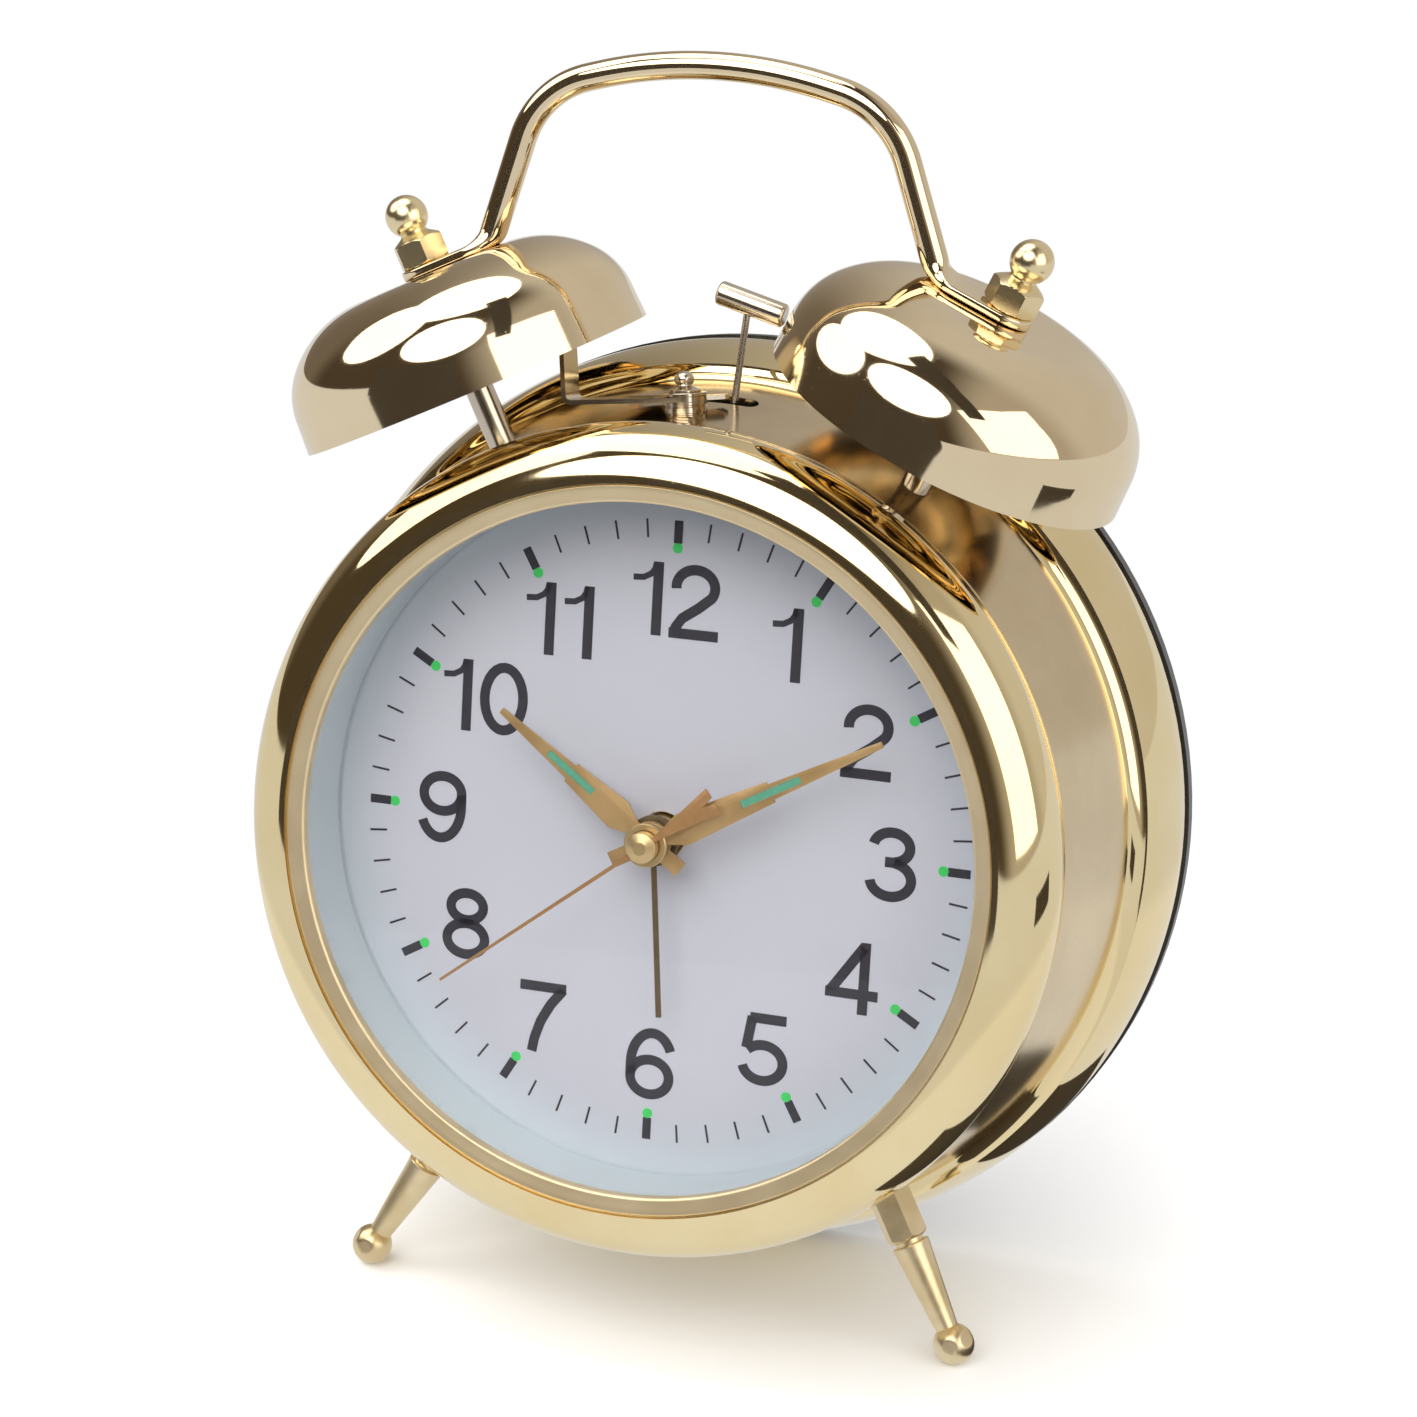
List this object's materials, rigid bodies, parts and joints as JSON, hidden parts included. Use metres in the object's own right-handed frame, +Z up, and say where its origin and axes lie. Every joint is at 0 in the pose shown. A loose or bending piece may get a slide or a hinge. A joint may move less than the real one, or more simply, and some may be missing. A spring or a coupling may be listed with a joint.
{
  "type": "alarm clock",
  "caption": "Wind-up alarm clock: a round drum case leaning back on splayed ball feet, with domed bells, a hammer between them and a carrying handle on top.",
  "frame": {"origin": "on the ground under the middle of the clock's bounding box", "axes": "+Z up, the dial faces -Y and leans back, +X to the right of someone who reads the dial"},
  "size_m": [0.1234, 0.0688, 0.163],
  "materials": {
    "polished_gold": "mirror-polished gold-coloured plating",
    "champagne_gold": "mirror-polished pale gold plating",
    "nickel": "polished nickel",
    "turned_brass": "turned brass",
    "movement_brass": "brushed brass",
    "steel": "plain steel",
    "blued_steel": "blued spring steel",
    "dial_paint": "matte pale lavender-grey print with dark grey marks",
    "hand_brass": "matte brass paint",
    "dark_hand": "dark bronze",
    "cover_black": "satin black",
    "crystal": "clear"
  },
  "bodies": {
    "case": {"case_shell": "polished_gold", "front_bezel": "polished_gold", "lip_ring": "polished_gold", "glass": "crystal", "dial": "dial_paint", "back_cover": "cover_black", "cover_screws": "steel", "cover_standoffs": "steel", "front_plate": "movement_brass", "rear_plate": "movement_brass", "plate_pillars": "steel", "minute_stud": "steel", "left_bell_post": "nickel", "right_bell_post": "nickel", "post_nuts": "steel", "left_bell": "champagne_gold", "right_bell": "champagne_gold", "handle": "champagne_gold", "ball_nuts": "champagne_gold", "left_foot": "turned_brass", "right_foot": "turned_brass", "foot_nuts": "steel", "stop_screw": "nickel", "stop_washers": "nickel"},
    "seconds": {"seconds_arbor": "steel", "fourth_wheel": "movement_brass", "seconds_hand": "hand_brass"},
    "third": {"third_wheel": "movement_brass"},
    "centre": {"centre_arbor": "steel", "centre_wheel": "movement_brass", "cannon_pinion": "movement_brass", "minute_hand": "hand_brass"},
    "minute_work": {"minute_wheel": "movement_brass"},
    "hour": {"hour_wheel": "movement_brass", "hour_hand": "hand_brass"},
    "escape": {"escape_wheel": "movement_brass"},
    "time_barrel": {"time_barrel": "movement_brass", "time_mainspring": "blued_steel"},
    "time_setting": {"setting_arbor": "steel", "time_set_knob": "nickel"},
    "alarm_setting": {"alarm_setting_arbor": "steel", "alarm_set_knob": "nickel"},
    "alarm": {"alarm_wheel": "movement_brass", "alarm_hand": "dark_hand"},
    "alarm_barrel": {"alarm_barrel": "movement_brass", "alarm_mainspring": "blued_steel"},
    "strike": {"strike_wheel": "movement_brass"},
    "time_key": {"time_spring_arbor": "steel", "time_winding_key": "nickel"},
    "alarm_key": {"alarm_spring_arbor": "steel", "alarm_winding_key": "nickel"},
    "pallet": {"pallet_lever": "steel"},
    "balance": {"balance_wheel": "movement_brass", "hairspring": "blued_steel"},
    "regulator": {"regulator_lever": "movement_brass"},
    "hammer": {"hammer_arbor": "steel", "hammer_head": "nickel"},
    "stop": {"stop_lever": "nickel"}
  },
  "joints": [
    {"name": "seconds_spin", "type": "hinge", "parent": "case", "child": "seconds", "pos_m": [0, 0.00366, 0.06404], "axis": [0, 0.9838, -0.1791], "continuous": true},
    {"name": "third_spin", "type": "hinge", "parent": "case", "child": "third", "pos_m": [-0.00531, 0.0017, 0.05329], "axis": [0, 0.9838, -0.1791], "continuous": true},
    {"name": "centre_spin", "type": "hinge", "parent": "case", "child": "centre", "pos_m": [0, -0.00411, 0.06546], "axis": [0, 0.9838, -0.1791], "continuous": true},
    {"name": "minute_work_spin", "type": "hinge", "parent": "case", "child": "minute_work", "pos_m": [0.001, -0.00643, 0.07395], "axis": [0, 0.9838, -0.1791], "continuous": true},
    {"name": "hour_spin", "type": "hinge", "parent": "case", "child": "hour", "pos_m": [0, -0.00932, 0.06641], "axis": [0, 0.9838, -0.1791], "continuous": true},
    {"name": "escape_spin", "type": "hinge", "parent": "case", "child": "escape", "pos_m": [0.00521, 0.00557, 0.07455], "axis": [0, 0.9838, -0.1791], "continuous": true},
    {"name": "time_barrel_spin", "type": "hinge", "parent": "case", "child": "time_barrel", "pos_m": [0.0156, -0.00096, 0.06488], "axis": [0, 0.9838, -0.1791], "continuous": true},
    {"name": "time_setting_spin", "type": "hinge", "parent": "case", "child": "time_setting", "pos_m": [0.00251, 0.02601, 0.08014], "axis": [0, 0.9838, -0.1791], "continuous": true},
    {"name": "alarm_setting_spin", "type": "hinge", "parent": "case", "child": "alarm_setting", "pos_m": [0.00664, 0.01965, 0.04523], "axis": [0, 0.9838, -0.1791], "continuous": true},
    {"name": "alarm_spin", "type": "hinge", "parent": "case", "child": "alarm", "pos_m": [0, -0.0109, 0.06669], "axis": [0, 0.9838, -0.1791], "continuous": true},
    {"name": "alarm_barrel_spin", "type": "hinge", "parent": "case", "child": "alarm_barrel", "pos_m": [-0.0172, -0.00096, 0.06488], "axis": [0, 0.9838, -0.1791], "continuous": true},
    {"name": "strike_spin", "type": "hinge", "parent": "case", "child": "strike", "pos_m": [-0.00916, 0.00606, 0.0772], "axis": [0, 0.9838, -0.1791], "continuous": true},
    {"name": "time_key_wind", "type": "hinge", "parent": "case", "child": "time_key", "pos_m": [0.0156, 0.02245, 0.06062], "axis": [0, 0.9838, -0.1791], "range_deg": [0, 1800]},
    {"name": "alarm_key_wind", "type": "hinge", "parent": "case", "child": "alarm_key", "pos_m": [-0.0172, 0.02245, 0.06062], "axis": [0, 0.9838, -0.1791], "range_deg": [0, 1800]},
    {"name": "pallet_rock", "type": "hinge", "parent": "case", "child": "pallet", "pos_m": [0.01091, 0.00923, 0.07899], "axis": [0, 0.9838, -0.1791], "range_deg": [-4, 4]},
    {"name": "balance_swing", "type": "hinge", "parent": "case", "child": "balance", "pos_m": [0.01952, 0.00468, 0.08693], "axis": [0, 0.9838, -0.1791], "range_deg": [-270, 270], "stiffness_Nm_per_rad": 0.0000074},
    {"name": "regulator_turn", "type": "hinge", "parent": "case", "child": "regulator", "pos_m": [0.01952, 0.01668, 0.08475], "axis": [0, 0.9838, -0.1791], "range_deg": [-24, 24]},
    {"name": "hammer_swing", "type": "hinge", "parent": "case", "child": "hammer", "pos_m": [-0.0011, 0.00231, 0.07953], "axis": [0, 0.9838, -0.1791], "range_deg": [-11.4, 0]},
    {"name": "stop_turn", "type": "hinge", "parent": "case", "child": "stop", "pos_m": [-0.0026, 0.0049, 0.11943], "axis": [-0.1045, 0.1782, 0.9784], "range_deg": [0, 20]}
  ],
  "couplings": [
    {"joint": "third_spin", "follows": "seconds_spin", "ratio": -0.13333},
    {"joint": "centre_spin", "follows": "seconds_spin", "ratio": 0.016667},
    {"joint": "minute_work_spin", "follows": "seconds_spin", "ratio": -0.0055556},
    {"joint": "hour_spin", "follows": "seconds_spin", "ratio": 0.0013889},
    {"joint": "escape_spin", "follows": "seconds_spin", "ratio": -10},
    {"joint": "time_barrel_spin", "follows": "seconds_spin", "ratio": -0.0033333},
    {"joint": "time_setting_spin", "follows": "seconds_spin", "ratio": 0.0055556},
    {"joint": "alarm_spin", "follows": "alarm_setting_spin", "ratio": -0.3},
    {"joint": "strike_spin", "follows": "alarm_barrel_spin", "ratio": -5}
  ]
}
